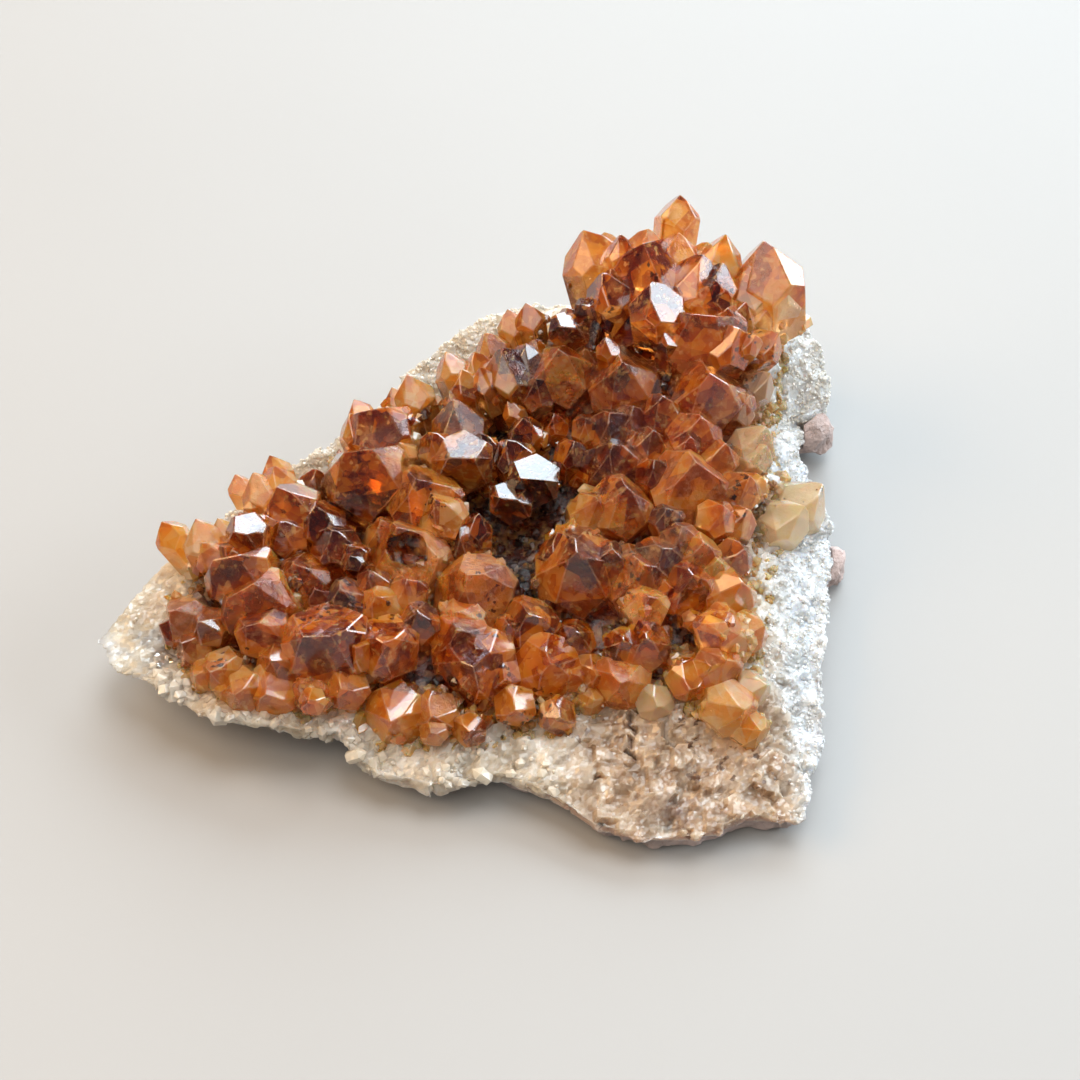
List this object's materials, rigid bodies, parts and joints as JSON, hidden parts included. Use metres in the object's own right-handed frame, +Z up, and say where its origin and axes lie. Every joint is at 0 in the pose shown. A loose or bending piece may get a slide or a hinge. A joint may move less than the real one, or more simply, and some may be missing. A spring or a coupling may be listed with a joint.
{
  "type": "citrine cluster",
  "caption": "Wedge-shaped cluster of orange-brown quartz points on a white quartz matrix with a thin rock rind, lying on its flat underside.",
  "frame": {"origin": "middle of the footprint's bounding box, on the resting surface", "axes": "+Z up out of the resting face; +X to the broad right-hand side, so the thin tip points to -X; -Y is the low front edge and +Y the high summit"},
  "size_m": [0.1299, 0.1143, 0.0445],
  "materials": {
    "citrine": "see-through burnt orange quartz, milky towards the roots",
    "milky_quartz": "rough, white, sparkling",
    "host_rock": "rough and dull"
  },
  "bodies": {
    "root": {"citrine_crystals": "citrine", "quartz_matrix": "milky_quartz", "rock_rind": "host_rock"}
  },
  "joints": []
}
